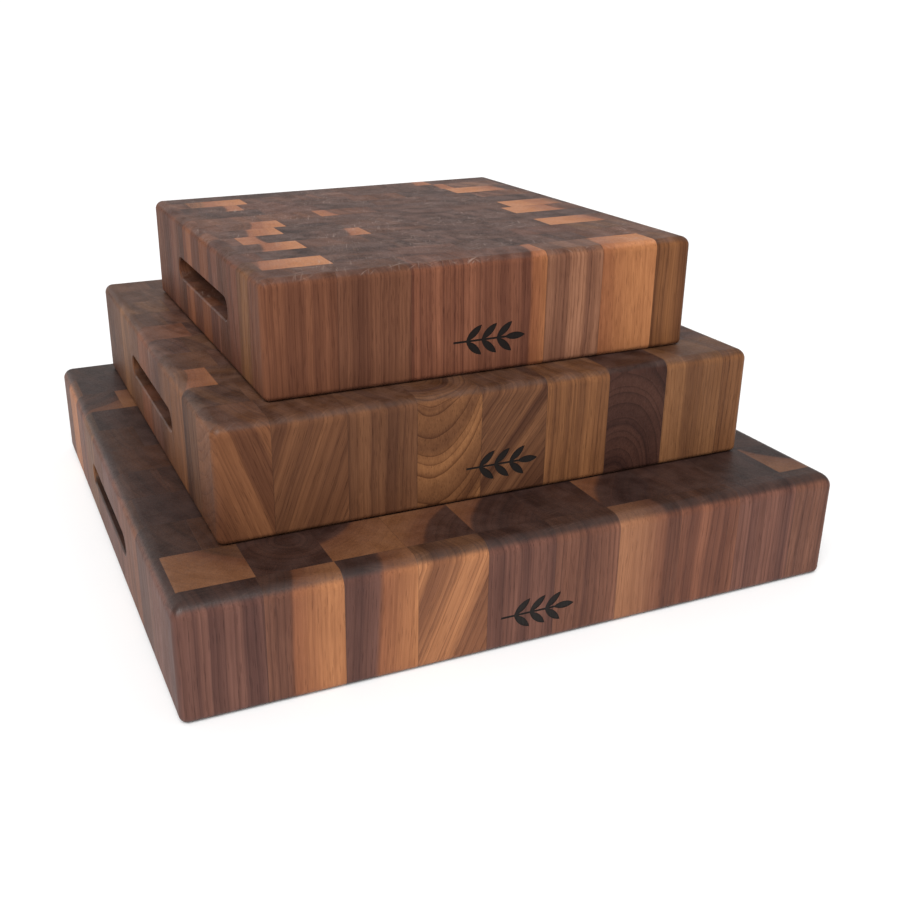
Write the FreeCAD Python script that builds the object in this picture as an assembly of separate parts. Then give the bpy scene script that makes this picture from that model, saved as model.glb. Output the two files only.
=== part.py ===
"""Three square end-grain walnut chopping boards of one design, stacked large, medium, small.

Each board is built the way the real one is. Staves are glued edge to edge into a panel, the panel is
cross-cut into slices, and the slices stand on end side by side, every other one turned end for end.
A slice is a "row" here and one STEP file. Each block of wood in a row is its own closed solid, and
neighbours meet face to face at the glue joints.

Frame: the origin is the middle of the large board's underside, +Z is up, and the front faces look
along -Y. Lengths are in millimetres.
"""

import FreeCAD, Part
import itertools
import math
import os
from collections import namedtuple

Vector = FreeCAD.Vector

INCH = 25.4

# Hand grips: one slot in the middle of the left side and one in the right side of every board.
GRIP_LENGTH = 144.0
GRIP_HEIGHT = 16.0  # the router bit's diameter, so both ends are half round
GRIP_DEPTH = 19.0
GRIP_EDGE_BREAK = 1.0  # the bevel around each slot's mouth

# The burned mark: a plain walnut sprig, low in the middle of every front face.
MARK_DEPTH = 0.4
MARK_HEIGHT_ABOVE_BASE = 23.0  # from the board's underside to the stem
STEM_LENGTH = 52.0
STEM_THICKNESS = 1.4
LEAF_LENGTH = 15.0
LEAF_WIDTH = 5.0
LEAF_PAIRS = 3
LEAF_PAIR_SPACING = 11.0
LEAF_ANGLE = 42.0  # degrees between a side leaf and the stem
FIRST_LEAF_PAIR = 9.0  # from the stem's foot to the first pair

LEAST_STAVE = 4.0  # a strip narrower than this stays part of its neighbour
LEAST_ROW = 12.0
SAME_LEVEL = 0.001  # heights closer than this are the same height

# width is along X and depth along Y. top_radius rounds the edges around the cutting surface,
# upright_radius the four upright edges and bottom_radius the edges around the underside. front_staves are
# the widths across the front row from the left, and the other rows are cut from the panel, whose first
# stave is panel_edge_stave wide. Past the listed widths every stave is stave_width wide, and the last one
# takes what is left. offset_x and offset_y place the board's middle from the large board's.
Board = namedtuple(
    "Board",
    "name width depth thickness top_radius upright_radius bottom_radius front_row_depth row_depth "
    "stave_width panel_edge_stave front_staves offset_x offset_y",
)

LARGE = Board(
    name="large",
    width=18 * INCH,
    depth=18 * INCH,
    thickness=3 * INCH,
    top_radius=9.0,
    upright_radius=5.0,
    bottom_radius=5.0,
    front_row_depth=17.5,
    row_depth=1.75 * INCH,
    stave_width=46.5,
    panel_edge_stave=6.5,
    front_staves=(52.0, 48.0),
    offset_x=0.0,
    offset_y=0.0,
)
MEDIUM = Board(
    name="medium",
    width=15 * INCH,
    depth=15 * INCH,
    thickness=3 * INCH,
    top_radius=7.0,
    upright_radius=5.0,
    bottom_radius=4.0,
    front_row_depth=1.5 * INCH,
    row_depth=1.5 * INCH,
    stave_width=46.0,
    panel_edge_stave=34.5,
    front_staves=(36.0, 48.0, 46.0, 45.0, 47.0, 47.0, 45.0),
    offset_x=4.0,
    offset_y=22.0,
)
SMALL = Board(
    name="small",
    width=12 * INCH,
    depth=12 * INCH,
    thickness=3 * INCH,
    top_radius=6.0,
    upright_radius=4.5,
    bottom_radius=4.0,
    front_row_depth=1.0 * INCH,
    row_depth=1.0 * INCH,
    stave_width=46.0,
    panel_edge_stave=9.5,
    front_staves=(48.5, 48.5, 48.0, 48.0, 42.0, 42.0),
    offset_x=7.0,
    offset_y=12.0,
)
STACK = (LARGE, MEDIUM, SMALL)  # from the bottom up


def cuts(length, listed, usual, least):
    """Where the cuts fall along a length: after each listed width, then after every usual one."""
    found = [0.0]
    for step in itertools.chain(listed, itertools.repeat(usual)):
        if found[-1] + step > length - least:
            return found + [length]
        found.append(found[-1] + step)


def row_edges(board):
    """The Y of each joint between rows, from the board's front face to its back face."""
    return cuts(board.depth, (board.front_row_depth,), board.row_depth, LEAST_ROW)


def stave_edges(board, row):
    """The X of each joint in a row, from its left end. Row 0 is the front one, and even rows are turned."""
    if row == 0:
        return cuts(board.width, board.front_staves, board.stave_width, LEAST_STAVE)
    edges = cuts(board.width, (board.panel_edge_stave,), board.stave_width, LEAST_STAVE)
    if row % 2 == 0:
        edges = [board.width - x for x in reversed(edges)]
    return edges


def slot_outline(x, centre_y, centre_z, length, height):
    """A slot with half-round ends, as a closed wire in the plane at this X."""
    radius = height / 2
    half = length / 2 - radius
    low_front = Vector(x, centre_y - half, centre_z - radius)
    low_back = Vector(x, centre_y + half, centre_z - radius)
    high_back = Vector(x, centre_y + half, centre_z + radius)
    high_front = Vector(x, centre_y - half, centre_z + radius)
    back_tip = Vector(x, centre_y + length / 2, centre_z)
    front_tip = Vector(x, centre_y - length / 2, centre_z)
    return Part.Wire(
        [
            Part.LineSegment(low_front, low_back).toShape(),
            Part.Arc(low_back, back_tip, high_back).toShape(),
            Part.LineSegment(high_back, high_front).toShape(),
            Part.Arc(high_front, front_tip, low_front).toShape(),
        ]
    )


def grip_cutter(board, side):
    """The wood that a hand grip takes away, with its bevelled mouth. side is -1 for left, 1 for right."""
    face_x = side * board.width / 2
    place = (0.0, board.thickness / 2)
    slot = Part.Face(slot_outline(face_x, *place, GRIP_LENGTH, GRIP_HEIGHT))
    pocket = slot.extrude(Vector(-side * GRIP_DEPTH, 0, 0))
    flare = 2 * GRIP_EDGE_BREAK
    wide = slot_outline(face_x, *place, GRIP_LENGTH + flare, GRIP_HEIGHT + flare)
    narrow = slot_outline(
        face_x - side * GRIP_EDGE_BREAK, *place, GRIP_LENGTH, GRIP_HEIGHT
    )
    return pocket.fuse(Part.makeLoft([wide, narrow], True, True))


def leaf(foot_x, angle):
    """One pointed leaf in the plane Y = 0, from its foot on the X axis, this many degrees above +X."""
    along = Vector(math.cos(math.radians(angle)), 0, math.sin(math.radians(angle)))
    across = Vector(-along.z, 0, along.x)
    foot = Vector(foot_x, 0, 0)
    tip = foot + along * LEAF_LENGTH
    middle = foot + along * (LEAF_LENGTH / 2)
    upper = Part.Arc(foot, middle + across * (LEAF_WIDTH / 2), tip).toShape()
    lower = Part.Arc(tip, middle - across * (LEAF_WIDTH / 2), foot).toShape()
    return Part.Face(Part.Wire([upper, lower]))


def sprig():
    """The burned mark as one flat face in the plane Y = 0, with the middle of the stem at the origin."""
    start = -STEM_LENGTH / 2
    end = start + STEM_LENGTH - LEAF_LENGTH / 2
    low, high = -STEM_THICKNESS / 2, STEM_THICKNESS / 2
    corners = [Vector(x, 0, z) for x, z in ((start, low), (start, high), (end, high), (end, low))]
    stem = Part.Face(Part.makePolygon(corners + corners[:1]))
    leaves = [leaf(start + STEM_LENGTH - LEAF_LENGTH, 0)]
    for pair in range(LEAF_PAIRS):
        foot_x = start + FIRST_LEAF_PAIR + pair * LEAF_PAIR_SPACING
        leaves += [leaf(foot_x, LEAF_ANGLE), leaf(foot_x, -LEAF_ANGLE)]
    pieces = stem.multiFuse(leaves).Faces
    return Part.Shell(pieces).removeSplitter().Faces[0]


def mark_cutter(board):
    """The sprig as a cutter that goes MARK_DEPTH into the front face."""
    cutter = sprig().extrude(Vector(0, 2 * MARK_DEPTH, 0))
    cutter.translate(Vector(0, -board.depth / 2 - MARK_DEPTH, MARK_HEIGHT_ABOVE_BASE))
    return cutter


def level_edges(shape, z):
    """The edges of a shape that lie in the level plane at this Z."""
    return [
        edge
        for edge in shape.Edges
        if all(abs(vertex.Z - z) < SAME_LEVEL for vertex in edge.Vertexes)
    ]


def board_body(board):
    """The finished outside of a board, standing on Z = 0 with its middle over the origin."""
    corner = Vector(-board.width / 2, -board.depth / 2, 0)
    body = Part.makeBox(board.width, board.depth, board.thickness, corner)
    uprights = [edge for edge in body.Edges if edge.BoundBox.ZLength > SAME_LEVEL]
    body = body.makeFillet(board.upright_radius, uprights)
    body = body.makeFillet(board.top_radius, level_edges(body, board.thickness))
    body = body.makeFillet(board.bottom_radius, level_edges(body, 0))
    for side in (-1, 1):
        body = body.cut(grip_cutter(board, side))
    return body.cut(mark_cutter(board))


def row_blocks(board, body, row, front_y, back_y):
    """The blocks of one row, each cut out of the board's body along the glue joints."""
    edges = stave_edges(board, row)
    blocks = []
    for left_x, right_x in zip(edges, edges[1:]):
        corner = Vector(left_x - board.width / 2, front_y - board.depth / 2, 0)
        cell = Part.makeBox(
            right_x - left_x, back_y - front_y, board.thickness, corner
        )
        blocks += cell.common(body).Solids
    return blocks


def build_board(board, base_z):
    """Writes one STEP per row of this board, which stands at base_z."""
    body = board_body(board)
    edges = row_edges(board)
    place = Vector(board.offset_x, board.offset_y, base_z)
    for row, (front_y, back_y) in enumerate(zip(edges, edges[1:])):
        blocks = row_blocks(board, body, row, front_y, back_y)
        shape = Part.makeCompound(blocks)
        shape.translate(place)
        name = f"{board.name}_row_{row + 1:02d}"
        shape.exportStep(os.path.join("parts", name + ".step"))
        print(name, len(blocks), "blocks", round(shape.Volume / 1000), "cm3")


def main():
    os.makedirs("parts", exist_ok=True)
    base_z = 0.0
    for board in STACK:
        build_board(board, base_z)
        base_z += board.thickness


main()
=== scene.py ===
# %% [markdown]
# # Three end-grain walnut chopping boards
#
# An end-grain board is a floor of upright blocks of wood, glued together. The cook cuts on the ends of the
# fibres, and the sides of the board show the same fibres from the side. So the look of this object is one
# question, asked once for every block: where in the tree did it grow? The CAD model already has every
# block as its own closed solid, with the right rounded edges and hand grips, so nothing is remodelled
# here. The whole lesson is about wood: one solid texture that is right on every face, and a different
# piece of tree for every block.

import math
import random

import bpy
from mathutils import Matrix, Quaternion, Vector


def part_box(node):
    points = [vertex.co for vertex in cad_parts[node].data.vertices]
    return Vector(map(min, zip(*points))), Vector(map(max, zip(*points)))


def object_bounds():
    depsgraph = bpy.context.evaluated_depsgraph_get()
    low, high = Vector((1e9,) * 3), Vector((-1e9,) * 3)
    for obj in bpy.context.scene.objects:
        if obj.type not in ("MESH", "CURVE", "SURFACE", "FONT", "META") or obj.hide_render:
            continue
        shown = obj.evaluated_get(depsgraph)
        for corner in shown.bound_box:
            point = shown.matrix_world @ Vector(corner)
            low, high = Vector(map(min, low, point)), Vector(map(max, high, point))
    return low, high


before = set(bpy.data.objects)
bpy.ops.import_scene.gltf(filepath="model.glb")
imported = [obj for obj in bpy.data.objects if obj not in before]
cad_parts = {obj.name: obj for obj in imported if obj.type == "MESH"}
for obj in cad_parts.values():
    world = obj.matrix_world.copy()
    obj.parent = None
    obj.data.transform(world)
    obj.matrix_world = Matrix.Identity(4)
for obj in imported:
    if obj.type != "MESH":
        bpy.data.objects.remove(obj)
cad_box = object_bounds()
scene = bpy.context.scene
MM = 0.001
print("the stack measures", [round(side / MM, 1) for side in cad_box[1] - cad_box[0]], "mm")

# %% [markdown]
# ## The camera
#
# The camera stands in front of the stack, to its left and a little above it. A short portrait lens keeps
# the edges that run away from us nearly parallel. A camera can be aimed with three angles about the axes,
# but they are hard to read. Here it is aimed by building its turn from the direction in which it looks,
# and a very small roll is then added about that direction.

# %% Camera
CAMERA_PLACE = (-0.3138, -0.7435, 0.3799)
AZIMUTH = math.radians(-21.72)
DOWN = math.radians(22.06)
ROLL = math.radians(-0.66)
SENSOR_WIDTH = 36.0
LENS = 43.6
SHIFT_X = 0.083
SHIFT_Y = -0.010

camera = bpy.data.objects.new("camera", bpy.data.cameras.new("camera"))
scene.collection.objects.link(camera)
scene.camera = camera
camera.location = CAMERA_PLACE
look = Vector((-math.sin(AZIMUTH) * math.cos(DOWN), math.cos(AZIMUTH) * math.cos(DOWN), -math.sin(DOWN)))
camera.rotation_mode = "QUATERNION"
camera.rotation_quaternion = look.to_track_quat("-Z", "Y") @ Quaternion((0, 0, 1), ROLL)
camera.data.sensor_width = SENSOR_WIDTH
camera.data.lens = LENS
camera.data.shift_x = SHIFT_X
camera.data.shift_y = SHIFT_Y
print("the camera looks along", [round(x, 2) for x in look])

# %% [markdown]
# ## The room
#
# Oiled walnut is dark and satin, so much of what we see of it is what it reflects. The tops are seen at a
# shallow angle and mirror whatever is behind the stack, and the left sides mirror the floor beside them.
# A white room would wash the tops out, and a black one would leave them dead. So the studio is a dim grey
# room with a bright white floor: the grey gives the tops a thin haze, and the floor a stronger one to the
# sides that stand next to it. The room is white where it meets the floor, so there is no horizon. The
# colours go to the render unchanged (the Standard view), so a wood looks the way its colour says.

# %% Room
ROOM = 0.48
HORIZON = 1.1
HORIZON_HEIGHT = 0.12  # how high the white reaches, as the sine of the angle above the floor
WHITE = (1.0, 1.0, 1.0, 1.0)

scene.view_settings.view_transform = "Standard"
world = bpy.data.worlds.new("grey room")
world.use_nodes = True
room = world.node_tree
up = room.nodes.new("ShaderNodeSeparateXYZ")
fade = room.nodes.new("ShaderNodeMapRange")
for key, value in (("From Max", HORIZON_HEIGHT), ("To Min", HORIZON), ("To Max", ROOM)):
    fade.inputs[key].default_value = value
room.links.new(room.nodes.new("ShaderNodeTexCoord").outputs["Generated"], up.inputs["Vector"])
room.links.new(up.outputs["Z"], fade.inputs["Value"])
room.nodes["Background"].inputs["Color"].default_value = WHITE
room.links.new(fade.outputs["Result"], room.nodes["Background"].inputs["Strength"])
scene.world = world
print("the room's brightness goes from", HORIZON, "at the floor to", ROOM, "above it")

# %% [markdown]
# ## Light and floor
#
# One very large light, high up at the front left, is all else there is. A sun lamp with a wide angle does
# the work of a big soft box, and it lights every pose of the boards alike, however high they are lifted.
# The floor is a plain plane that reaches far beyond the room's fade.

# %% Light and floor
OVERHEAD = 3.0
LIGHT_FROM = (-0.30, -0.56, 0.77)
LIGHT_WIDTH = math.radians(45)
FLOOR_SIZE = 400.0
FLOOR_COLOUR = (0.93, 0.93, 0.93, 1.0)
FLOOR_ROUGHNESS = 0.8

overhead = bpy.data.objects.new("overhead", bpy.data.lights.new("overhead", "SUN"))
scene.collection.objects.link(overhead)
overhead.data.energy = OVERHEAD
overhead.data.angle = LIGHT_WIDTH
overhead.rotation_mode = "QUATERNION"
overhead.rotation_quaternion = Vector(LIGHT_FROM).to_track_quat("Z", "Y")

bpy.ops.mesh.primitive_plane_add(size=FLOOR_SIZE, location=(0, 0, cad_box[0].z))
floor = bpy.context.object
floor.name = "floor"
floor_paint = bpy.data.materials.new("pale floor")
floor_paint.use_nodes = True
floor_shader = floor_paint.node_tree.nodes["Principled BSDF"]
floor_shader.inputs["Base Color"].default_value = FLOOR_COLOUR
floor_shader.inputs["Roughness"].default_value = FLOOR_ROUGHNESS
floor.data.materials.append(floor_paint)
print("a floor of", FLOOR_SIZE, "m and one light,", round(math.degrees(LIGHT_WIDTH)), "degrees wide")

# %% [markdown]
# ## Finding the blocks
#
# Each CAD node is one row, and holds its blocks side by side. The glue joints between them are big flat
# faces that look along X, so they can be found by adding up the area of such faces at each X. A hand
# grip's back wall also looks along X, but it is small beside a joint.

# %% Where the glue joints are
BOARDS = ("large", "medium", "small")
SQUARE_ON = 0.999  # a face whose normal has this much X looks along X
rows = {name: sorted(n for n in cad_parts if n.startswith(name)) for name in BOARDS}


def glue_joints(node):
    """The X of each end of a row and of each joint in it, in order."""
    low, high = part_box(node)
    whole = (high.y - low.y) * (high.z - low.z)
    area = {}
    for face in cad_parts[node].data.polygons:
        inside = low.x + MM < face.center.x < high.x - MM
        if inside and abs(face.normal.x) > SQUARE_ON:
            at = round(face.center.x / MM, 1)
            area[at] = area.get(at, 0.0) + face.area
    return [low.x] + [at * MM for at in sorted(area) if area[at] > whole / 2] + [high.x]


joints = {node: glue_joints(node) for name in BOARDS for node in rows[name]}
for name in BOARDS:
    in_board = sum(len(joints[node]) - 1 for node in rows[name])
    print(name, "board:", in_board, "blocks in", len(rows[name]), "rows")

# %% [markdown]
# ## Woods
#
# Boards are glued up from offcuts of several trees, so no two blocks have the same brown. Each colour of
# heartwood gets a letter here, from chocolate to the pale orange that lies next to the sapwood. Sapwood
# has two colours of its own, further on. One wood has a duller sapwood, so it carries a tint for it.

# %% Colours of heartwood
WOODS = {
    "m": (0.156, 0.060, 0.032),  # reddish brown
    "b": (0.146, 0.060, 0.028),  # plain brown
    "p": (0.138, 0.057, 0.041),  # plum
    "k": (0.165, 0.064, 0.038),  # pinkish brown
    "t": (0.200, 0.084, 0.035),  # tan
    "c": (0.050, 0.020, 0.014),  # chocolate
    "d": (0.085, 0.037, 0.025),  # dark brown
    "g": (0.120, 0.052, 0.034),  # grey brown
    "r": (0.205, 0.074, 0.034),  # fox red
    "s": (0.350, 0.140, 0.060),  # pale orange
    "h": (0.270, 0.122, 0.072),  # dull honey
    "v": (0.165, 0.064, 0.038),  # pinkish brown with dull sapwood
}
SAPWOOD_TINTS = {"v": (0.76, 0.80, 0.96, 1.0)}
print(len(WOODS), "woods, of which", len(SAPWOOD_TINTS), "has duller sapwood")

# %% [markdown]
# ## Figures
#
# The figure is how the block was cut from its tree: where the tree's heart lies from it, how much its
# fibres lean, and how much of it is pale sapwood. A figure without sapwood looks like what it makes: | is
# straight grain with rings that run from front to back, = has rings that run from left to right, / and \
# lean, % leans far, U is a bowl and n an arch, as on a flat-sawn face, and @ is a swirl with the heart in
# the block. A figure with sapwood is a letter of the ring around S on a keyboard, and its side of the S is
# the side of the sapwood: Q W E at the back, A and D to the left and right, Z X C at the front.

# %% Figures
# Direction to the heart (x, y), its distance in millimetres, the fibres' lean (x, y), and how boldly the
# rings are drawn.
FIGURES = {
    "|": ((1, 0.25), 110, (0.01, 0.02), 0.62),
    "=": ((0.2, 1), 100, (0.01, 0.01), 0.62),
    "/": ((1, 0.3), 80, (0.38, 0.04), 0.62),
    "\\": ((1, 0.3), 80, (-0.36, 0.04), 0.45),
    "%": ((1, 0.3), 45, (0.70, 0.10), 0.7),
    "U": ((-0.45, 1), 30, (0.06, -0.36), 0.85),
    "n": ((-0.9, 1), 20, (0.16, 0.50), 0.8),
    "@": ((0.3, 1), 9, (0.10, 0.16), 0.65),
}
KEYBOARD = ("QWE", "A D", "ZXC")
RING_OF_S = "".join(KEYBOARD).replace(" ", "")
SAPWOOD_HEART = 75
SAPWOOD_LEAN = (0.02, 0.03)
SAPWOOD_BOLD = 0.6
OFF_AXIS = (0.1, 0.15)  # keeps the heart from lying exactly square to the block

for line, letters in enumerate(KEYBOARD):
    for column, letter in enumerate(letters):
        if letter in RING_OF_S:
            to_heart = (1 - column + OFF_AXIS[0], line - 1 + OFF_AXIS[1])
            FIGURES[letter] = (to_heart, SAPWOOD_HEART, SAPWOOD_LEAN, SAPWOOD_BOLD)
print("figures", " ".join(FIGURES))

# %% [markdown]
# ## The plan of each board
#
# With a letter for the wood and one for the figure, a whole row of blocks reads like a knitting pattern,
# from the front row to the back one and from left to right. A digit after a sapwood figure is the
# sapwood's share of the block in tenths, or else 5. Blocks that the plan doesn't name are drawn by a
# seeded lot, from the woods in which the rest of their board is cut.

# %% Plans and lots
PLAN = {
    "large": [
        "p| kD6 pD5 s/ p| k| vA7 k| p| k|",
        "p| sZ7 p@ pC7 pQ5 pQ3 p| pQ3 p| p| pZ5",
        "k| r|",
        "r| p|",
        "k| k|",
        "p| r|",
        "r| p|",
        "t| p|",
        "kC3 kZ6",
        "s| p|",
        "k| g|",
    ],
    "medium": [
        "b\\ b/ b| tU b% t| cn t| t|",
        "b| b|",
        "tD6 b=",
        "b| g|",
        "g| b|",
        "r| g|",
        "b| m|",
        "t| g|",
        "b| b|",
        "b| b|",
    ],
    "small": [
        "m| m| k| kD2 h| sD9 t|",
        "t| rD9 g= k= g/ g| r| h|",
        "k| d| g= g| g@ k| t| r|",
        "m| gD6 m/ g| g= g| rA9 r|",
        "k| dA3 gD3 m= g@ g= d| g|",
        "r| gD5 d@ m| g| g/ rA8 m|",
        "m| rD5 g= g| g@ m= sA8 g|",
        "r| r| r| rA3 g= g| d| g|",
        "m| d| k| g@ m= g| r| g|",
        "k| gD3 k| g= r| d| rA9 g|",
        "m| sD7 m| m/ g@ gD3 h| g|",
        "m| d| d= g| m@ gD3 g| g|",
    ],
}
WOOD_LOTS = {"large": "ppkkmr", "medium": "bbtgm", "small": "ggmmk"}
FIGURE_LOTS = "||||==/\\@"
print({name: len(plan) for name, plan in PLAN.items()}, "rows are planned")

# %% [markdown]
# ## Growing a block
#
# The letters are turned into facts about one block: the place of the tree's heart, the lean of the
# fibres, the heartwood's colour, how far from the heart the sapwood starts, how boldly the rings show and
# a seed. Small random changes keep two blocks with the same word from being twins. They come from one
# seeded source, so the boards are the same each time.

# %% The facts of one block
lots = random.Random(1718)
FAR = 10.0  # metres: stands for "no glue joint on this side" and for "no sapwood"
SWAY = 0.15  # how much the direction to the heart may change
SAPWOOD_SWAY = 0.05
NEARER, FURTHER = 0.85, 1.2  # by what factor its distance may change
DULLER, BOLDER = 0.7, 1.2
SHADE_CHANGE = 0.10
WARMTH_CHANGE = 0.05
LEAN_CHANGE = (0.015, 0.02)
LAST_SEED = 50
USUAL_SHARE = 5  # tenths of sapwood


def grow(board, row_index, block_index, low, high):
    """The facts of one block, from its word in the plan or by lot. low and high are its corners."""
    words = PLAN[board][row_index].split()
    word = lots.choice(WOOD_LOTS[board]) + lots.choice(FIGURE_LOTS)
    if block_index < len(words):
        word = words[block_index]
    wood, figure = word[:2]
    share = float(word[2:] or USUAL_SHARE) / 10
    toward, distance, lean, bold = FIGURES[figure]
    sway = SAPWOOD_SWAY if figure in RING_OF_S else SWAY
    toward = Vector((toward[0], toward[1] + lots.uniform(-sway, sway), 0)).normalized()
    if figure in "|=" and lots.random() < 0.5:
        toward = -toward
    distance *= MM * lots.uniform(NEARER, FURTHER)
    extent = abs(toward.x) * (high.x - low.x) + abs(toward.y) * (high.y - low.y)
    shade = lots.uniform(1 - SHADE_CHANGE, 1 + SHADE_CHANGE)
    warmth = lots.uniform(-WARMTH_CHANGE, WARMTH_CHANGE)
    red, green, blue = WOODS[wood]
    return {
        "heart": (low + high) / 2 + toward * distance,
        "lean": (lean[0] + lots.gauss(0, LEAN_CHANGE[0]), lean[1] + lots.gauss(0, LEAN_CHANGE[1]), 0.0),
        "wood": (red * shade * (1 + warmth), green * shade, blue * shade * (1 - warmth), 1.0),
        "sapwood": distance + (0.5 - share) * extent if figure in RING_OF_S else FAR,
        "tint": SAPWOOD_TINTS.get(wood, WHITE),
        "bold": bold * lots.uniform(DULLER, BOLDER),
        "seed": lots.uniform(0, LAST_SEED),
    }


print("one block needs a heart, a lean, a wood, a border of sapwood, a boldness and a seed")

# %% [markdown]
# ## Writing the facts on the blocks
#
# Every block could have a material of its own, but three hundred of them would be hard to change. A
# material can also read values that are stored with the faces of a mesh. So the facts are stored there,
# and one walnut material serves a whole board. Each face also learns the corners of its own block, for the
# glue lines. The vertices are left alone: the shape is the CAD model's.

# %% Store each block's facts on its faces
KINDS = {
    "heart": ("FLOAT_VECTOR", "vector"),
    "lean": ("FLOAT_VECTOR", "vector"),
    "wood": ("FLOAT_COLOR", "color"),
    "sapwood": ("FLOAT", "value"),
    "tint": ("FLOAT_COLOR", "color"),
    "bold": ("FLOAT", "value"),
    "seed": ("FLOAT", "value"),
    "cell_low": ("FLOAT_VECTOR", "vector"),
    "cell_high": ("FLOAT_VECTOR", "vector"),
}


def row_facts(board, row_index, node):
    """The facts of each block in a row, from the left."""
    low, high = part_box(node)
    ends = joints[node]
    front = -FAR if row_index == 0 else low.y
    back = FAR if row_index == len(rows[board]) - 1 else high.y
    found = []
    for block, (left, right) in enumerate(zip(ends, ends[1:])):
        facts = grow(board, row_index, block, Vector((left, low.y, low.z)), Vector((right, high.y, high.z)))
        facts["cell_low"] = (-FAR if block == 0 else left, front, 0.0)
        facts["cell_high"] = (FAR if block == len(ends) - 2 else right, back, 0.0)
        found.append(facts)
    return found


def store_facts(board, row_index, node):
    """Writes the facts of every block in a row on the faces that belong to it."""
    blocks = row_facts(board, row_index, node)
    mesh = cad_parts[node].data
    inside = [face.center.x - face.normal.x * MM / 2 for face in mesh.polygons]
    owner = [sum(x > joint for joint in joints[node][1:-1]) for x in inside]
    for name, (data_type, field) in KINDS.items():
        store = mesh.attributes.new(name, data_type, "FACE")
        values = [blocks[block][name] for block in owner]
        flat = values if field == "value" else [part for value in values for part in value]
        store.data.foreach_set(field, flat)
    return len(blocks)


stored = sum(store_facts(name, i, node) for name in BOARDS for i, node in enumerate(rows[name]))
print(stored, "blocks have their facts")

# %% [markdown]
# ## Helpers for node trees
#
# A material here is a few dozen small sums. Written out node by node it would be long, so a few helpers
# keep it short: one adds a node and feeds its inputs, and others do arithmetic with numbers and vectors,
# map a range, read a fact and mix colours. Each takes either a plain value or another node's output.

# %% Helpers that add one node


def feed(tree, socket, value):
    """Links an output to a socket, or sets the socket to a plain value."""
    if isinstance(value, bpy.types.NodeSocket):
        tree.links.new(value, socket)
    else:
        socket.default_value = value


def add(tree, kind, feeds=None, **settings):
    """Adds a node with these settings and feeds its named inputs."""
    node = tree.nodes.new("ShaderNode" + kind)
    for key, value in settings.items():
        setattr(node, key, value)
    for key, value in (feeds or {}).items():
        feed(tree, node.inputs[key], value)
    return node


def calc(tree, operation, *values):
    """One sum with numbers."""
    node = add(tree, "Math", operation=operation)
    for socket, value in zip(node.inputs, values):
        feed(tree, socket, value)
    return node.outputs["Value"]


def vector(tree, operation, *values):
    """One sum with vectors. SCALE takes its number from a socket of its own."""
    node = add(tree, "VectorMath", operation=operation)
    sockets = [node.inputs[0], node.inputs["Scale"]] if operation == "SCALE" else node.inputs
    for socket, value in zip(sockets, values):
        feed(tree, socket, value)
    return node.outputs["Value" if operation == "LENGTH" else "Vector"]


def split(tree, value):
    """The X, Y and Z of a vector, by name."""
    return add(tree, "SeparateXYZ", {"Vector": value}).outputs


def span(tree, value, low, high, to_low=0.0, to_high=1.0):
    """Maps low..high to to_low..to_high, smoothly and without going past the ends."""
    feeds = {"Value": value, "From Min": low, "From Max": high, "To Min": to_low, "To Max": to_high}
    return add(tree, "MapRange", feeds, interpolation_type="SMOOTHSTEP").outputs["Result"]


def fact(tree, name):
    """The outputs of the node that reads a stored fact."""
    return add(tree, "Attribute", attribute_name=name, attribute_type="GEOMETRY").outputs


def blend(tree, mode, share, first, second):
    """Mixes two colours."""
    node = add(tree, "Mix", data_type="RGBA", blend_type=mode, clamp_factor=True)
    colours = [socket for socket in node.inputs if socket.type == "RGBA"]
    feed(tree, node.inputs["Factor"], share)
    feed(tree, colours[0], first)
    feed(tree, colours[1], second)
    return next(socket for socket in node.outputs if socket.type == "RGBA")


def noise(tree, where, scale, detail, roughness=0.5, distortion=0.0):
    """Smooth noise in space. Scale is in lumps per unit of where."""
    feeds = {"Vector": where, "Scale": scale, "Detail": detail}
    feeds.update({"Roughness": roughness, "Distortion": distortion})
    return add(tree, "TexNoise", feeds).outputs


def noise_along(tree, position, detail, roughness=0.5):
    """Smooth noise along one number, with one lump to each whole step."""
    feeds = {"W": position, "Scale": 1.0, "Detail": detail, "Roughness": roughness}
    return add(tree, "TexNoise", feeds, noise_dimensions="1D").outputs["Fac"]


print("helpers for single nodes are ready")

# %% [markdown]
# ## Helpers for node groups
#
# An effect that several materials share is a node group: it is built once, and each material gives it its
# own values. One helper makes a group with its sockets, and one places a group in a material.

# %% Helpers for groups


def group(name, inputs, outputs):
    """A new node group with these sockets. Returns the tree, its input values and its output sockets."""
    tree = bpy.data.node_groups.new(name, "ShaderNodeTree")
    for label, kind, value in inputs:
        socket = tree.interface.new_socket(label, in_out="INPUT", socket_type="NodeSocket" + kind)
        if value is not None:
            socket.default_value = value
    for label, kind in outputs:
        tree.interface.new_socket(label, in_out="OUTPUT", socket_type="NodeSocket" + kind)
    return tree, tree.nodes.new("NodeGroupInput").outputs, tree.nodes.new("NodeGroupOutput").inputs


def place(tree, name, feeds):
    """Puts a group in a material and feeds it. Returns its outputs."""
    node = add(tree, "Group")
    node.node_tree = bpy.data.node_groups[name]
    for key, value in feeds.items():
        feed(tree, node.inputs[key], value)
    return node.outputs


print("helpers for groups are ready")

# %% [markdown]
# ## Where in the tree is this point?
#
# This group turns a point of the board into a point of the tree. It measures from the block's heart line,
# slides the point along the leaning fibres to the heart's own level, and bends the result a little,
# because no tree is round. The distance from the heart is what growth rings and sapwood follow, so they
# meet correctly at every corner: arcs on the end grain turn into stripes down the side. Flat textures on
# each face could never do that.

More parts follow.
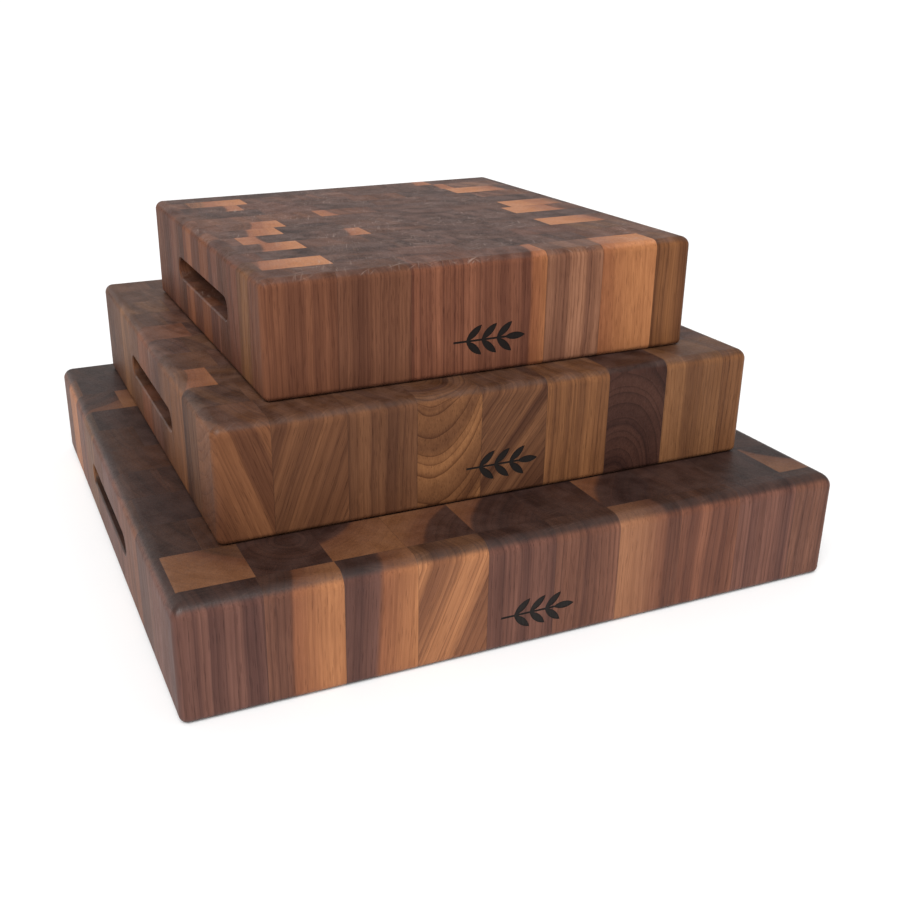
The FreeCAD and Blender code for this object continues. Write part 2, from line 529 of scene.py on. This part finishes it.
# %% The tree space group
WOBBLE = 5 * MM
WOBBLES_PER_METRE = 24.0
ALONG_WOBBLE = (1.0, 1.0, 0.45)  # wobbles are longer along the tree
SEED_STEP = (0.37, 0.71, 0.53)  # metres by which a seed of 1 moves the noise
MIDDLE_GREY = (0.5, 0.5, 0.5)

tree, given, result = group(
    "tree space",
    [("Wobble", "Float", WOBBLE), ("Wobble Scale", "Float", WOBBLES_PER_METRE)],
    [("Radius", "Float"), ("Place", "Vector"), ("Across", "Vector")],
)
point = add(tree, "TexCoord").outputs["Object"]
away = vector(tree, "SUBTRACT", point, fact(tree, "heart")["Vector"])
slide = vector(tree, "SCALE", fact(tree, "lean")["Vector"], split(tree, away)["Z"])
straight = vector(tree, "SUBTRACT", away, slide)
shift = vector(tree, "SCALE", SEED_STEP, fact(tree, "seed")["Fac"])
squeezed = vector(tree, "MULTIPLY", vector(tree, "ADD", straight, shift), ALONG_WOBBLE)
bend = noise(tree, squeezed, given["Wobble Scale"], 2.0)["Color"]
centred = vector(tree, "SUBTRACT", bend, MIDDLE_GREY)
bent = vector(tree, "ADD", straight, vector(tree, "SCALE", centred, given["Wobble"]))
across = vector(tree, "MULTIPLY", bent, (1.0, 1.0, 0.0))
feed(tree, result["Radius"], vector(tree, "LENGTH", across))
feed(tree, result["Place"], vector(tree, "ADD", bent, shift))
feed(tree, result["Across"], across)
print("tree space has", len(tree.nodes), "nodes")

# %% [markdown]
# ## Growth rings
#
# Each year adds a ring: open early wood, then a thin line of dense dark late wood. Walnut also lays its
# dark pigment in bands that are wider than a ring. So the group gives two masks: the late wood's line,
# and a broad band made from one-dimensional noise along the radius. The line is a saw-tooth over the
# years, raised to a power so that only its end is dark. Years are uneven, so noise is added to them first.

# %% The growth rings group
USUAL_RING = 3.5 * MM
LINE_SHARPNESS = 5.0
UNEVEN_STEP = 0.31  # how fast the luck of the years changes, in lumps a year
UNEVEN_YEARS = 2.2  # how far a ring may be from its even place
BAND_STEP = 0.22  # bands a year
BAND_ROUGHNESS = 0.62
BAND_EDGES = (0.30, 0.70)  # noise below the first is none, and above the second it is full

RING_INPUTS = [
    ("Radius", "Float", 0.0),
    ("Ring Width", "Float", USUAL_RING),
    ("Line Sharpness", "Float", LINE_SHARPNESS),
]
tree, given, result = group("growth rings", RING_INPUTS, [("Late Wood", "Float"), ("Band", "Float")])
seed = fact(tree, "seed")["Fac"]
years = calc(tree, "DIVIDE", given["Radius"], given["Ring Width"])
uneven = noise_along(tree, calc(tree, "MULTIPLY_ADD", years, UNEVEN_STEP, seed), 1.0)
years = calc(tree, "MULTIPLY_ADD", uneven, UNEVEN_YEARS, years)
feed(tree, result["Late Wood"], calc(tree, "POWER", calc(tree, "FRACT", years), given["Line Sharpness"]))
band = noise_along(tree, calc(tree, "MULTIPLY_ADD", years, BAND_STEP, seed), 3.0, BAND_ROUGHNESS)
feed(tree, result["Band"], span(tree, band, *BAND_EDGES))
print("growth rings has", len(tree.nodes), "nodes")

# %% [markdown]
# ## Clouds and fibres
#
# The finer effects share one idea: noise that is stretched along the tree. Clouds are wide and faint, and
# show where the wood took more oil. Fibres are long streaks, some soft and some fine. They are measured in
# the tree's own space, so on a leaning block they lean too.

# %% The clouds and fibres groups
CLOUD_WIDTH = 14 * MM
ALONG_CLOUD = (1.0, 1.0, 0.35)
CLOUD_EDGES = (0.30, 0.70)
FIBRE_WIDTH = 1.1 * MM
ALONG_FIBRE = (1.0, 1.0, 0.022)
FIBRE_ROUGHNESS = 0.7
FIBRE_EDGES = (0.30, 0.70)
STREAKS_PER_FIBRE = 0.42
STREAK_EDGES = (0.32, 0.68)

tree, given, result = group(
    "clouds",
    [("Place", "Vector", None), ("Width", "Float", CLOUD_WIDTH)],
    [("Cloud", "Float")],
)
stretched = vector(tree, "MULTIPLY", given["Place"], ALONG_CLOUD)
soft = noise(tree, stretched, calc(tree, "DIVIDE", 1.0, given["Width"]), 4.0)["Fac"]
feed(tree, result["Cloud"], span(tree, soft, *CLOUD_EDGES))

tree, given, result = group(
    "fibres",
    [("Place", "Vector", None), ("Width", "Float", FIBRE_WIDTH)],
    [("Streak", "Float"), ("Fine", "Float")],
)
per_metre = calc(tree, "DIVIDE", 1.0, given["Width"])
stretched = vector(tree, "MULTIPLY", given["Place"], ALONG_FIBRE)
wide = noise(tree, stretched, calc(tree, "MULTIPLY", per_metre, STREAKS_PER_FIBRE), 2.0)["Fac"]
fine = noise(tree, stretched, per_metre, 2.0, roughness=FIBRE_ROUGHNESS)["Fac"]
feed(tree, result["Streak"], span(tree, wide, *STREAK_EDGES))
feed(tree, result["Fine"], span(tree, fine, *FIBRE_EDGES))
print("a fibre is", round(1 / ALONG_FIBRE[2]), "times as long as it is wide")

# %% [markdown]
# ## Pores and rays
#
# Pores are the vessels that carried water, so they are dots where the wood is cut across and short dashes
# where it is cut along. Stretched Voronoi cells give both from one texture. Rays run out from the heart
# like spokes and show as fine pale lines across the rings, so their noise is laid out by angle and radius.

# %% The pores and rays groups
PORE_SPACING = 1.2 * MM
ALONG_PORE = (1.0, 1.0, 0.06)
PORE_EDGE = (0.13, 0.27)  # from its middle, in spacings
RAYS_PER_RADIAN = 120.0
RAY_PIECES_PER_METRE = 45.0
RAY_EDGES = (0.58, 0.74)

tree, given, result = group(
    "pores",
    [("Place", "Vector", None), ("Spacing", "Float", PORE_SPACING)],
    [("Pore", "Float")],
)
stretched = vector(tree, "MULTIPLY", given["Place"], ALONG_PORE)
per_metre = calc(tree, "DIVIDE", 1.0, given["Spacing"])
cells = add(tree, "TexVoronoi", {"Vector": stretched, "Scale": per_metre, "Randomness": 1.0})
feed(tree, result["Pore"], span(tree, cells.outputs["Distance"], *PORE_EDGE, 1.0, 0.0))

tree, given, result = group(
    "rays",
    [("Across", "Vector", None), ("Radius", "Float", 0.0)],
    [("Ray", "Float")],
)
sides = split(tree, given["Across"])
angle = calc(tree, "ARCTAN2", sides["Y"], sides["X"])
around = calc(tree, "MULTIPLY", angle, RAYS_PER_RADIAN)
outward = calc(tree, "MULTIPLY", given["Radius"], RAY_PIECES_PER_METRE)
spokes = add(tree, "CombineXYZ", {"X": around, "Y": outward}).outputs["Vector"]
feed(tree, result["Ray"], span(tree, noise(tree, spokes, 1.0, 1.0)["Fac"], *RAY_EDGES))
print("groups so far:", ", ".join(g.name for g in bpy.data.node_groups))

# %% [markdown]
# ## Faces and rounded edges
#
# End grain drinks oil like a bundle of straws, so it goes darker and greyer than the sides. The group
# finds it from the direction in which the surface looks, and finds the rounded edges as the places that
# look along no axis. No piece has to be told which of its faces are which.

# %% The facing group
END_GRAIN_FROM, END_GRAIN_FULL = 0.40, 0.80  # how much of the normal is upright
EDGE_FULL, EDGE_NONE = 0.80, 0.99  # the largest part of the normal

tree, given, result = group("facing", [], [("End Grain", "Float"), ("Rounded Edge", "Float")])
parts = split(tree, vector(tree, "ABSOLUTE", add(tree, "NewGeometry").outputs["Normal"]))
feed(tree, result["End Grain"], span(tree, parts["Z"], END_GRAIN_FROM, END_GRAIN_FULL))
most = calc(tree, "MAXIMUM", calc(tree, "MAXIMUM", parts["X"], parts["Y"]), parts["Z"])
feed(tree, result["Rounded Edge"], span(tree, most, EDGE_FULL, EDGE_NONE, 1.0, 0.0))
print("facing has", len(tree.nodes), "nodes")

# %% [markdown]
# ## Glue lines
#
# A good glue joint is a dark line a third of a millimetre wide. Modelled as a piece it would be too thin
# to see, so it is colour. The group measures how far a point is from the nearest joint of its own block,
# with the corners that are stored on the face. Where a block has no neighbour, its corner was put far away.

# %% The glue line group
GLUE_WIDTH = 0.3 * MM

tree, given, result = group("glue line", [("Width", "Float", GLUE_WIDTH)], [("Glue", "Float")])
point = add(tree, "TexCoord").outputs["Object"]
from_low = split(tree, vector(tree, "SUBTRACT", point, fact(tree, "cell_low")["Vector"]))
from_high = split(tree, vector(tree, "SUBTRACT", fact(tree, "cell_high")["Vector"], point))
near_x = calc(tree, "MINIMUM", from_low["X"], from_high["X"])
near_y = calc(tree, "MINIMUM", from_low["Y"], from_high["Y"])
nearest = calc(tree, "MINIMUM", near_x, near_y)
feed(tree, result["Glue"], span(tree, nearest, 0.0, given["Width"], 1.0, 0.0))
print("glue line has", len(tree.nodes), "nodes")

# %% [markdown]
# ## Scuffs
#
# A used or roughly sanded cutting face has fine pale strokes that cross the joints. Each direction is a
# noise squeezed thin across the stroke and drawn out along it, and only its peaks are kept. A wide noise
# gathers the strokes into patches. Scuffs belong to the board and not to the tree, so they are laid out in
# the board's own space.

# %% The scuffs group
STROKE_DIRECTIONS = (18, 62, 125)  # degrees about Z
STROKE_WIDTH = 1.5 * MM
STROKE_LENGTH = 16 * MM
STROKE_BEND = 0.8
STROKE_PEAKS = (0.60, 0.76)
PATCHES_PER_METRE = 26.0
PATCH_EDGE = (0.40, 0.62)

tree, given, result = group(
    "scuffs",
    [("Width", "Float", STROKE_WIDTH), ("Length", "Float", STROKE_LENGTH)],
    [("Scuff", "Float")],
)
point = add(tree, "TexCoord").outputs["Object"]
size = add(tree, "CombineXYZ", {"X": given["Width"], "Y": given["Length"], "Z": 1.0}).outputs["Vector"]
strokes = 0.0
for angle in STROKE_DIRECTIONS:
    turn = {"Vector": point, "Axis": (0.0, 0.0, 1.0), "Angle": math.radians(angle)}
    squeezed = vector(tree, "DIVIDE", add(tree, "VectorRotate", turn).outputs["Vector"], size)
    wavy = noise(tree, squeezed, 1.0, 2.0, distortion=STROKE_BEND)["Fac"]
    strokes = calc(tree, "MAXIMUM", span(tree, wavy, *STROKE_PEAKS), strokes)
patches = span(tree, noise(tree, point, PATCHES_PER_METRE, 2.0)["Fac"], *PATCH_EDGE)
feed(tree, result["Scuff"], calc(tree, "MULTIPLY", strokes, patches))
print("scuffs in", len(STROKE_DIRECTIONS), "directions")

# %% [markdown]
# ## The burned sprig
#
# The mark is a shallow recess that the CAD model has cut into each front face. A branding iron burns what
# it presses, so the floor and walls of the recess are char. A picture of the sprig could be laid on the
# face, but the shape is already there: a point belongs to the mark if it lies a little behind the front
# face, and near the middle of it.

# %% The char group
MARK_HALF_WIDTH = 32 * MM
MARK_HALF_HEIGHT = 15 * MM
CHAR_FROM, CHAR_FULL, CHAR_DEEPEST = 0.08 * MM, 0.2 * MM, 1 * MM  # behind the front face

tree, given, result = group("char", [("Mark Place", "Vector", None)], [("Char", "Float")])
point = add(tree, "TexCoord").outputs["Object"]
from_mark = split(tree, vector(tree, "SUBTRACT", point, given["Mark Place"]))
beside = calc(tree, "LESS_THAN", calc(tree, "ABSOLUTE", from_mark["X"]), MARK_HALF_WIDTH)
level = calc(tree, "LESS_THAN", calc(tree, "ABSOLUTE", from_mark["Z"]), MARK_HALF_HEIGHT)
shallow = calc(tree, "LESS_THAN", from_mark["Y"], CHAR_DEEPEST)
in_box = calc(tree, "MULTIPLY", calc(tree, "MULTIPLY", beside, level), shallow)
behind = span(tree, from_mark["Y"], CHAR_FROM, CHAR_FULL)
feed(tree, result["Char"], calc(tree, "MULTIPLY", in_box, behind))
print("char is looked for", MARK_HALF_WIDTH / MM, "mm to each side of the mark's middle")

# %% [markdown]
# ## Placing the groups
#
# Every walnut uses every group, so one function places them all and hands back their masks by name. Only
# the ring width and the place of the mark differ from board to board.

# %% Put every mask in a material
MARK_HEIGHT = 23 * MM  # from the board's underside to the sprig's stem


def put_masks(tree, board, ring_width):
    """Places each group in a material. Returns all their outputs by name."""
    masks = {}

    def put(name, feeds):
        masks.update({socket.name: socket for socket in place(tree, name, feeds)})

    put("tree space", {})
    put("growth rings", {"Radius": masks["Radius"], "Ring Width": ring_width})
    for name in ("clouds", "fibres", "pores"):
        put(name, {"Place": masks["Place"]})
    put("rays", {"Across": masks["Across"], "Radius": masks["Radius"]})
    for name in ("facing", "glue line", "scuffs"):
        put(name, {})
    low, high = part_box(rows[board][0])
    put("char", {"Mark Place": Vector(((low.x + high.x) / 2, low.y, low.z + MARK_HEIGHT))})
    return masks


print("each walnut will place", len(bpy.data.node_groups), "groups")

# %% [markdown]
# ## The colour of the side grain
#
# Now the material is only a recipe. The block's own heartwood colour is banded light and dark, and the
# sapwood takes over past its radius, orange at first and paler further out. Then clouds, late wood,
# streaks, fibres and pores each darken what is there by multiplying, as oil and pigment do.

# %% Wood, from the heart out
HEART_DARK = (0.50, 0.44, 0.46, 1.0)
HEART_LIGHT = (1.50, 1.55, 1.45, 1.0)
SAPWOOD_NEAR = (0.260, 0.094, 0.042, 1.0)
SAPWOOD_FAR = (0.430, 0.178, 0.072, 1.0)
SAPWOOD_DEPTH = 32 * MM  # from its border to where it is palest
SAPWOOD_UNEVEN = 6 * MM
CLOUD_SHADE = (0.86, 0.84, 0.84, 1.0)
LATE_SHADE = (0.42, 0.35, 0.32, 1.0)
STREAK_SHADE = (0.62, 0.55, 0.52, 1.0)
FIBRE_SHADE = (0.60, 0.55, 0.52, 1.0)
PORE_SHADE = (0.35, 0.30, 0.30, 1.0)
STREAKS, FIBRES, PORES = 0.30, 0.40, 0.35  # how much of each shows
FAINTER_IN_SAPWOOD = 0.55


def heart_and_sapwood(tree, masks, sapwood_edge):
    """The bands of the heartwood, with the sapwood around it. Returns the colour and the sapwood's mask."""
    heartwood = fact(tree, "wood")["Color"]
    bold = fact(tree, "bold")["Fac"]
    dark = blend(tree, "MULTIPLY", bold, heartwood, HEART_DARK)
    light = blend(tree, "MULTIPLY", bold, heartwood, HEART_LIGHT)
    banded = blend(tree, "MIX", masks["Band"], dark, light)
    past = calc(tree, "SUBTRACT", masks["Radius"], fact(tree, "sapwood")["Fac"])
    is_sapwood = span(tree, past, -sapwood_edge, sapwood_edge)
    depth = calc(tree, "MULTIPLY_ADD", masks["Band"], SAPWOOD_UNEVEN, past)
    sapwood = blend(tree, "MIX", span(tree, depth, 0.0, SAPWOOD_DEPTH), SAPWOOD_NEAR, SAPWOOD_FAR)
    sapwood = blend(tree, "MULTIPLY", 1.0, sapwood, fact(tree, "tint")["Color"])
    return blend(tree, "MIX", is_sapwood, banded, sapwood), is_sapwood


def side_grain(tree, masks, wood, is_sapwood):
    """The wood with its clouds, ring lines, streaks, fibres and pores."""
    strength = calc(tree, "MULTIPLY_ADD", is_sapwood, -FAINTER_IN_SAPWOOD, 1.0)
    bold_line = calc(tree, "MULTIPLY", masks["Late Wood"], fact(tree, "bold")["Fac"])
    colour = blend(tree, "MULTIPLY", masks["Cloud"], wood, CLOUD_SHADE)
    colour = blend(tree, "MULTIPLY", calc(tree, "MULTIPLY", bold_line, strength), colour, LATE_SHADE)
    details = (("Streak", STREAKS, STREAK_SHADE), ("Fine", FIBRES, FIBRE_SHADE), ("Pore", PORES, PORE_SHADE))
    for name, amount, shade in details:
        colour = blend(tree, "MULTIPLY", calc(tree, "MULTIPLY", masks[name], amount), colour, shade)
    return colour


print("the side grain is darkened in five steps")

# %% [markdown]
# ## The colour of the end grain
#
# The end grain is the side grain's own colour, taken down by the oil it drank. On top of that lie the
# rays, a dry haze where the clouds took less oil, and the scuffs. How strongly each of these shows is what
# makes one board look freshly oiled and another well used.

# %% End grain
RAY = (0.300, 0.170, 0.110, 1.0)
DRY = (0.300, 0.190, 0.165, 1.0)
PALE = (0.500, 0.380, 0.320, 1.0)


def end_grain(tree, masks, side, is_sapwood, end_shade, sapwood_end_shade, wear, scuffing):
    """The colour of the cutting face."""
    shade = calc(tree, "MULTIPLY_ADD", is_sapwood, sapwood_end_shade - end_shade, end_shade)
    grey = add(tree, "CombineXYZ", {"X": shade, "Y": shade, "Z": shade}).outputs["Vector"]
    oiled = blend(tree, "MULTIPLY", 1.0, side, grey)
    rayed = blend(tree, "MIX", calc(tree, "MULTIPLY", masks["Ray"], wear), oiled, RAY)
    dry = calc(tree, "MULTIPLY", calc(tree, "SUBTRACT", 1.0, masks["Cloud"]), wear)
    hazy = blend(tree, "MIX", dry, rayed, DRY)
    return blend(tree, "MIX", calc(tree, "MULTIPLY", masks["Scuff"], scuffing), hazy, PALE)


print("rays, haze and scuffs lie on the end grain")

# %% [markdown]
# ## Finish and relief
#
# Hand-rubbed oil leaves the sides nearly matt. The end grain has soaked up more of it, so it has a thin
# coat, which is where the haze on the tops comes from. Handling polishes the rounded edges, while pores and
# char stay rough. Pores, fibres and glue lines are also a hair deeper than the face, as relief.

# %% Roughness, coat and relief
SIDE_ROUGHNESS = 0.52
ROUGHER = (("Fine", 0.12), ("End Grain", -0.08), ("Pore", 0.15), ("Rounded Edge", -0.08), ("Char", 0.3))
COAT_LEAST, COAT_IN_STREAKS = 0.15, 0.10
COAT_ROUGHNESS = 0.38
DEEPER = (("Fine", -0.35), ("Pore", -1.0), ("Glue", -0.6))
RELIEF = 0.25 * MM
RELIEF_STRENGTH = 0.5


def add_up(tree, masks, amounts, start):
    """A number that each mask raises or lowers by its own amount."""
    total = start
    for name, amount in amounts:
        total = calc(tree, "MULTIPLY_ADD", masks[name], amount, total)
    return total


def finish(tree, masks, shader, sheen):
    """How the wood reflects, and its relief."""
    feed(tree, shader.inputs["Roughness"], add_up(tree, masks, ROUGHER, SIDE_ROUGHNESS))
    shader.inputs["Specular IOR Level"].default_value = sheen
    coat = calc(tree, "MULTIPLY_ADD", masks["Streak"], COAT_IN_STREAKS, COAT_LEAST)
    feed(tree, shader.inputs["Coat Weight"], calc(tree, "MULTIPLY", coat, masks["End Grain"]))
    shader.inputs["Coat Roughness"].default_value = COAT_ROUGHNESS
    height = add_up(tree, masks, DEEPER, 0.0)
    bump = add(tree, "Bump", {"Height": height, "Strength": RELIEF_STRENGTH, "Distance": RELIEF})
    feed(tree, shader.inputs["Normal"], bump.outputs["Normal"])


print("roughness follows", len(ROUGHER), "masks and relief", len(DEEPER))

# %% [markdown]
# ## The three walnuts
#
# Each board gets its own walnut from the same recipe. The large board is the darkest on top and the most
# coarsely ringed. The small one is the driest and most scuffed. Glue and char come last, over everything.

# %% Walnut
GLUE = (0.022, 0.011, 0.008, 1.0)
GLUE_SHOWS = 0.5
CHAR = (0.012, 0.009, 0.008, 1.0)


def walnut(board, ring_width, end_shade, sapwood_end_shade, sapwood_edge, wear, scuffing, sheen):
    """One board's walnut.

    end_shade and sapwood_end_shade are by what factor the end grain is darker than the side grain,
    sapwood_edge is half the width of the sapwood's border, wear is how dry the end grain looks, scuffing is
    how pale its strokes are, and sheen is how much the surface reflects.
    """
    material = bpy.data.materials.new("walnut_" + board)
    material.use_nodes = True
    tree = material.node_tree
    shader = tree.nodes["Principled BSDF"]
    masks = put_masks(tree, board, ring_width)
    wood, is_sapwood = heart_and_sapwood(tree, masks, sapwood_edge)
    side = side_grain(tree, masks, wood, is_sapwood)
    end = end_grain(tree, masks, side, is_sapwood, end_shade, sapwood_end_shade, wear, scuffing)
    colour = blend(tree, "MIX", masks["End Grain"], side, end)
    colour = blend(tree, "MIX", calc(tree, "MULTIPLY", masks["Glue"], GLUE_SHOWS), colour, GLUE)
    feed(tree, shader.inputs["Base Color"], blend(tree, "MIX", masks["Char"], colour, CHAR))
    finish(tree, masks, shader, sheen)
    return material


walnuts = {
    "large": walnut(
        "large",
        ring_width=4.2 * MM,
        end_shade=0.25,
        sapwood_end_shade=0.44,
        sapwood_edge=2.2 * MM,
        wear=0.05,
        scuffing=0.0,
        sheen=0.25,
    ),
    "medium": walnut(
        "medium",
        ring_width=3.4 * MM,
        end_shade=0.58,
        sapwood_end_shade=0.78,
        sapwood_edge=0.8 * MM,
        wear=0.10,
        scuffing=0.04,
        sheen=0.15,
    ),
    "small": walnut(
        "small",
        ring_width=2.6 * MM,
        end_shade=0.66,
        sapwood_end_shade=1.30,
        sapwood_edge=1.8 * MM,
        wear=0.18,
        scuffing=0.36,
        sheen=0.10,
    ),
}
for name in BOARDS:
    for node in rows[name]:
        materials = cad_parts[node].data.materials
        materials.clear()
        materials.append(walnuts[name])
print({name: len(material.node_tree.nodes) for name, material in walnuts.items()}, "nodes in each walnut")
